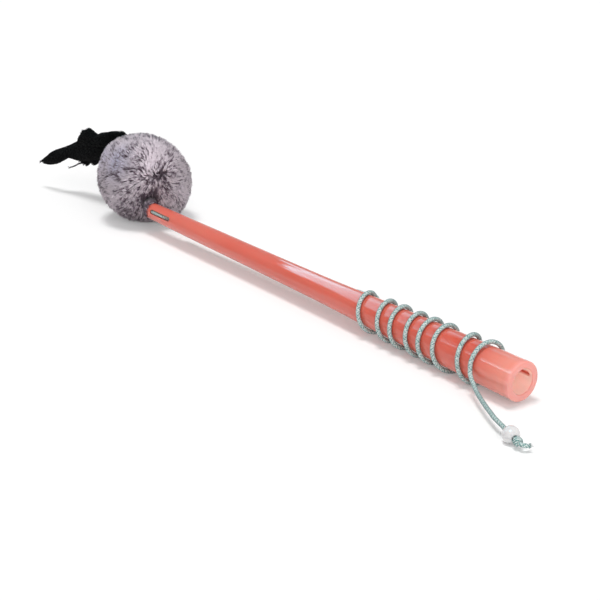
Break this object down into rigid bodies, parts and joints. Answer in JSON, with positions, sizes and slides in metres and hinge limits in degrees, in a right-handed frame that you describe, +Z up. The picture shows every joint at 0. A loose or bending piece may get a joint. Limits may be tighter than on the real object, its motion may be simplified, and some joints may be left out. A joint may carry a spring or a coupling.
{
  "type": "dog teaser wand",
  "caption": "Tapered hollow plastic wand with a braided line through its tip, wound round the handle, and a squeaky plush fur ball lure with a black tail.",
  "frame": {"origin": "on the floor under the middle of the box round the wand, lure and tail, without the free end", "axes": "+X along the wand from the tip towards the butt, +Z up from the floor the part lies on"},
  "size_m": [0.92, 0.1443, 0.1022],
  "materials": {
    "coral_plastic": "gloss",
    "braided_line": "matte",
    "pearl_plastic": "gloss",
    "grey_fur": "matte",
    "black_pile": "satin",
    "fibre_fill": "matte",
    "dark_thread": "matte",
    "milky_plastic": "satin"
  },
  "bodies": {
    "wand": {"wand_tube": "coral_plastic", "line_in_slot": "braided_line", "line_back_run": "braided_line", "line_winding": "braided_line", "line_free_end": "braided_line", "line_stop_knot": "braided_line", "line_cut_end": "braided_line"},
    "bend": {"line_bend": "braided_line"},
    "tether": {"line_tether": "braided_line", "tether_knot": "braided_line"},
    "lure": {"lure_skin": "grey_fur", "lure_stuffing": "fibre_fill", "squeaker_bladder": "milky_plastic", "squeaker_reed": "milky_plastic", "lure_mouth_tie": "dark_thread", "tail_seat_ring": "dark_thread"},
    "tail": {"tail_plush": "black_pile"},
    "bead": {"line_bead": "pearl_plastic"}
  },
  "joints": [
    {"name": "lure_swing", "type": "hinge", "parent": "wand", "child": "bend", "pos_m": [-0.18277, -0.0239, 0.02702], "axis": [0, 0, 1], "range_deg": [-28, 86]},
    {"name": "lure_dip", "type": "hinge", "parent": "bend", "child": "tether", "pos_m": [-0.18277, -0.0239, 0.02702], "axis": [-0.4847, -0.8747, 0], "range_deg": [0, 60]},
    {"name": "lure_twist", "type": "hinge", "parent": "tether", "child": "lure", "pos_m": [-0.18277, -0.0239, 0.02702], "axis": [-0.7897, 0.4376, 0.4299], "continuous": true},
    {"name": "tail_wag", "type": "hinge", "parent": "lure", "child": "tail", "pos_m": [-0.27131, 0.02516, 0.07522], "axis": [0, 0, 1], "range_deg": [-60, 18]},
    {"name": "bead_slide", "type": "slide", "parent": "wand", "child": "bead", "axis": [-0.9552, 0.2851, 0.08], "range_m": [0, 0.02]}
  ]
}
